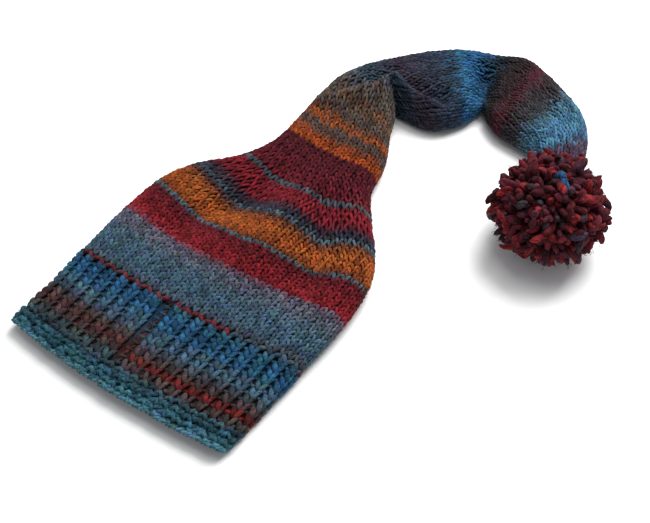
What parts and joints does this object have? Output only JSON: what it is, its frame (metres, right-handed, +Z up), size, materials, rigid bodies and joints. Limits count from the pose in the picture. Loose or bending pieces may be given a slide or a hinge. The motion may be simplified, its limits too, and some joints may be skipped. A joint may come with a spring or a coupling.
{
  "type": "elf hat",
  "caption": "Hand-knitted long-tailed elf hat lying flat: garter edging, ribbed cuff, hollow crown, bent tapering tail and a cut-yarn pompom.",
  "frame": {"origin": "on the floor under the middle of the crown, on the flat underside", "axes": "+Y from the head opening to the crown, +X to the wearer's side that the tail bends to, +Z up from the floor"},
  "size_m": [0.3856, 0.5601, 0.1043],
  "materials": {
    "edging_wool": "teal chunky wool in garter stitch",
    "cuff_wool": "brown, grey-blue and blue chunky wool in ribbing",
    "crown_wool": "self-striping chunky wool in stocking stitch, mostly red, orange and grey-blue",
    "tail_wool": "self-striping chunky wool in stocking stitch, brown, blue and grey",
    "pompom_wool": "cut strands of maroon and red wool"
  },
  "bodies": {
    "root": {"brim_edging": "edging_wool", "ribbed_cuff": "cuff_wool", "crown": "crown_wool", "tail": "tail_wool", "pompom": "pompom_wool"}
  },
  "joints": []
}
